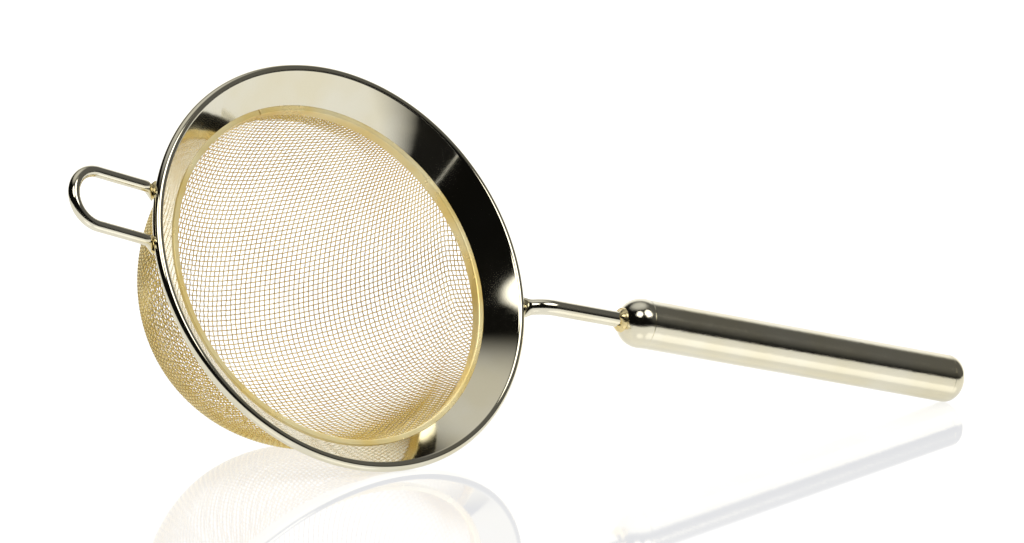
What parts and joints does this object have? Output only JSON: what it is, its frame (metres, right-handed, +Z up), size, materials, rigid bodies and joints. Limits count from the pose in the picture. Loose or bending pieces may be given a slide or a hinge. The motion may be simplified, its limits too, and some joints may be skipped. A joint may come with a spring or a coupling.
{
  "type": "fine mesh cocktail strainer",
  "caption": "Gold fine mesh cocktail strainer: woven bowl under a flared round rim, with a tube handle on a bent neck rod and a wire rest loop opposite.",
  "frame": {"origin": "bottom middle of the object's box, on the table that the strainer lies on", "axes": "+Z up from the table; +X level, along the handle seen from above, towards its free end; +Y level, towards the back of the bowl, so the mouth faces mostly -Y and up"},
  "size_m": [0.215, 0.0726, 0.0798],
  "materials": {
    "polished_gold": "mirror polished pale champagne gold plating on stainless steel",
    "ring_gold": "bright gold plating on a stamped strip",
    "mesh_gold": "bright gold plating on plain woven wire",
    "weld_gold": "gold plating over small weld beads, slightly rough"
  },
  "bodies": {
    "root": {"rim_flange": "polished_gold", "mesh_retaining_ring": "ring_gold", "mesh_bowl": "mesh_gold", "rest_loop": "polished_gold", "neck_rod": "polished_gold", "handle_front_cap": "polished_gold", "handle_tube": "polished_gold", "handle_end_cap": "polished_gold", "rod_rim_weld": "weld_gold", "rod_cap_weld": "weld_gold", "loop_left_weld": "weld_gold", "loop_right_weld": "weld_gold"}
  },
  "joints": []
}
